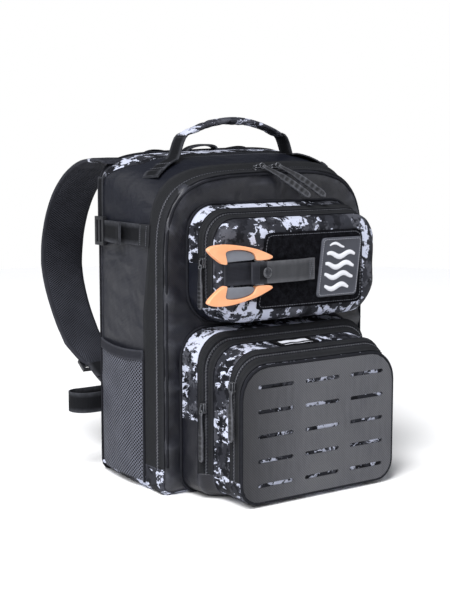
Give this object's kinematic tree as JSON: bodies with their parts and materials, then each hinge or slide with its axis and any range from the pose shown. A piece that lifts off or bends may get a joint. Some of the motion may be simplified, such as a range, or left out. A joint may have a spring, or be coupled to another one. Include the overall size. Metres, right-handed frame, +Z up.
{
  "type": "tackle backpack",
  "caption": "Clamshell fishing backpack with zipped front pockets, slotted gear panel, snips in a sleeve, side pockets, padded shoulder straps, hip belt and carry handle.",
  "frame": {"origin": "on the ground at the middle of the main body's base", "axes": "+X to the right seen from the front, -Y towards the front pockets, +Z up"},
  "size_m": [0.3476, 0.3902, 0.426],
  "materials": {
    "shell_fabric": "plain-weave nylon, matt",
    "camo_fabric": "printed splash camouflage, coated",
    "panel_twill": "diagonal twill",
    "molle_laminate": "laser-cut laminate",
    "webbing": "woven polyester webbing",
    "zip_tape": "woven tape with moulded coil",
    "mesh": "open stretch mesh",
    "loop_pile": "brushed loop pile",
    "spacer_mesh": "spacer mesh over foam",
    "label_weave": "woven damask",
    "patch_rubber": "moulded soft rubber",
    "moulded_plastic": "acetal",
    "zip_metal": "black lacquered die cast",
    "pull_rubber": "moulded cord pull",
    "frame_plastic": "polyethylene sheet",
    "orange_grip": "moulded, satin",
    "blade_steel": "stainless"
  },
  "bodies": {
    "root": {"back_panel": "shell_fabric", "frame_sheet": "frame_plastic", "frame_sleeve": "shell_fabric", "back_padding": "spacer_mesh", "left_side_panel": "shell_fabric", "right_side_panel": "shell_fabric", "top_panel": "camo_fabric", "bottom_panel": "camo_fabric", "main_zip_rear_tape": "zip_tape", "mesh_pocket": "mesh", "right_side_pocket": "camo_fabric", "compression_straps": "webbing", "compression_ladder_locks": "moulded_plastic", "handle_anchors": "webbing", "strap_yoke": "spacer_mesh", "hang_loop": "webbing", "hip_belt": "webbing", "hip_buckle_socket": "moulded_plastic", "hip_buckle_plug": "moulded_plastic"},
    "front_flap": {"front_panel": "panel_twill", "main_zip_front_tape": "zip_tape", "upper_pocket_base": "camo_fabric", "upper_zip_rear_tape": "zip_tape", "lower_pocket_base": "camo_fabric", "rear_zip_rear_tape": "zip_tape"},
    "main_slider_left": {"main_zip_slider_left": "zip_metal"},
    "main_slider_right": {"main_zip_slider_right": "zip_metal"},
    "main_pull_left": {"main_zip_pull_left": "pull_rubber"},
    "main_pull_right": {"main_zip_pull_right": "pull_rubber"},
    "upper_lid": {"upper_pocket_lid": "camo_fabric", "upper_zip_front_tape": "zip_tape", "loop_panel": "loop_pile", "snips_sleeve": "webbing"},
    "upper_slider": {"upper_zip_slider": "zip_metal"},
    "upper_pull": {"upper_zip_pull": "pull_rubber"},
    "patch_body": {"patch": "patch_rubber"},
    "snips_body": {"snips_upper_lever": "blade_steel", "snips_upper_grip": "orange_grip", "snips_pivot_pin": "blade_steel"},
    "snips_moving_half": {"snips_lower_lever": "blade_steel", "snips_lower_grip": "orange_grip"},
    "middle_flap": {"middle_section": "camo_fabric", "rear_zip_front_tape": "zip_tape", "woven_label": "label_weave", "front_zip_rear_tape": "zip_tape"},
    "rear_slider": {"rear_zip_slider": "zip_metal"},
    "rear_pull": {"rear_zip_pull": "pull_rubber"},
    "molle_flap": {"molle_lid": "camo_fabric", "molle_panel": "molle_laminate", "front_zip_front_tape": "zip_tape"},
    "front_slider": {"front_zip_slider": "zip_metal"},
    "front_pull": {"front_zip_pull": "pull_rubber"},
    "carry_handle": {"handle_webbing": "webbing", "handle_grip": "camo_fabric"},
    "left_strap": {"left_strap_pad": "spacer_mesh", "left_strap_webbing": "webbing", "left_ladder_lock": "moulded_plastic"},
    "right_strap": {"right_strap_pad": "spacer_mesh", "right_strap_webbing": "webbing", "right_ladder_lock": "moulded_plastic"}
  },
  "joints": [
    {"name": "front_flap_open", "type": "hinge", "parent": "root", "child": "front_flap", "pos_m": [0, -0.06155, 0], "axis": [1, 0, 0], "range_deg": [0, 90]},
    {"name": "main_zip_left_travel", "type": "slide", "parent": "front_flap", "child": "main_slider_left", "axis": [-1, 0, 0], "range_m": [0, 0.035]},
    {"name": "main_zip_right_travel", "type": "slide", "parent": "front_flap", "child": "main_slider_right", "axis": [1, 0, 0], "range_m": [0, 0.035]},
    {"name": "main_pull_left_lift", "type": "hinge", "parent": "main_slider_left", "child": "main_pull_left", "pos_m": [-0.009, -0.0755, 0.369], "axis": [-1, 0, 0], "range_deg": [0, 110]},
    {"name": "main_pull_right_lift", "type": "hinge", "parent": "main_slider_right", "child": "main_pull_right", "pos_m": [0.014, -0.0755, 0.369], "axis": [-1, 0, 0], "range_deg": [0, 110]},
    {"name": "upper_lid_open", "type": "hinge", "parent": "front_flap", "child": "upper_lid", "pos_m": [0, -0.09955, 0.196], "axis": [1, 0, 0], "range_deg": [0, 50]},
    {"name": "upper_zip_travel", "type": "slide", "parent": "upper_lid", "child": "upper_slider", "axis": [0, 0, 1], "range_m": [-0.025, 0.02]},
    {"name": "upper_pull_lift", "type": "hinge", "parent": "upper_slider", "child": "upper_pull", "pos_m": [-0.1147, -0.0995, 0.259], "axis": [0, 1, 0], "range_deg": [0, 140]},
    {"name": "patch_peel", "type": "slide", "parent": "upper_lid", "child": "patch_body", "axis": [0, -1, 0], "range_m": [0, 0.03]},
    {"name": "snips_draw", "type": "slide", "parent": "upper_lid", "child": "snips_body", "axis": [-1, 0, 0], "range_m": [0, 0.08]},
    {"name": "snips_squeeze", "type": "hinge", "parent": "snips_body", "child": "snips_moving_half", "pos_m": [-0.034, -0.129, 0.254], "axis": [0, -1, 0], "range_deg": [0, 25]},
    {"name": "middle_flap_open", "type": "hinge", "parent": "front_flap", "child": "middle_flap", "pos_m": [0, -0.11155, 0.0025], "axis": [1, 0, 0], "range_deg": [0, 60]},
    {"name": "rear_zip_travel", "type": "slide", "parent": "middle_flap", "child": "rear_slider", "axis": [0, 0, 1], "range_m": [-0.035, 0.035]},
    {"name": "rear_pull_lift", "type": "hinge", "parent": "rear_slider", "child": "rear_pull", "pos_m": [-0.1244, -0.1116, 0.099], "axis": [0, 1, 0], "range_deg": [0, 140]},
    {"name": "molle_flap_open", "type": "hinge", "parent": "middle_flap", "child": "molle_flap", "pos_m": [0, -0.15455, 0.004], "axis": [1, 0, 0], "range_deg": [0, 60]},
    {"name": "front_zip_travel", "type": "slide", "parent": "molle_flap", "child": "front_slider", "axis": [0, 0, -1], "range_m": [0, 0.055]},
    {"name": "front_pull_lift", "type": "hinge", "parent": "front_slider", "child": "front_pull", "pos_m": [-0.1112, -0.1545, 0.129], "axis": [0, 1, 0], "range_deg": [0, 140]},
    {"name": "carry_handle_swing", "type": "hinge", "parent": "root", "child": "carry_handle", "pos_m": [0, 0, 0.38], "axis": [1, 0, 0], "range_deg": [-45, 45]},
    {"name": "left_strap_swing", "type": "hinge", "parent": "root", "child": "left_strap", "pos_m": [-0.12, 0.084, 0.24], "axis": [0, 0, 1], "range_deg": [-20, 20]},
    {"name": "right_strap_swing", "type": "hinge", "parent": "root", "child": "right_strap", "pos_m": [0.12, 0.084, 0.24], "axis": [0, 0, -1], "range_deg": [-20, 20]}
  ]
}
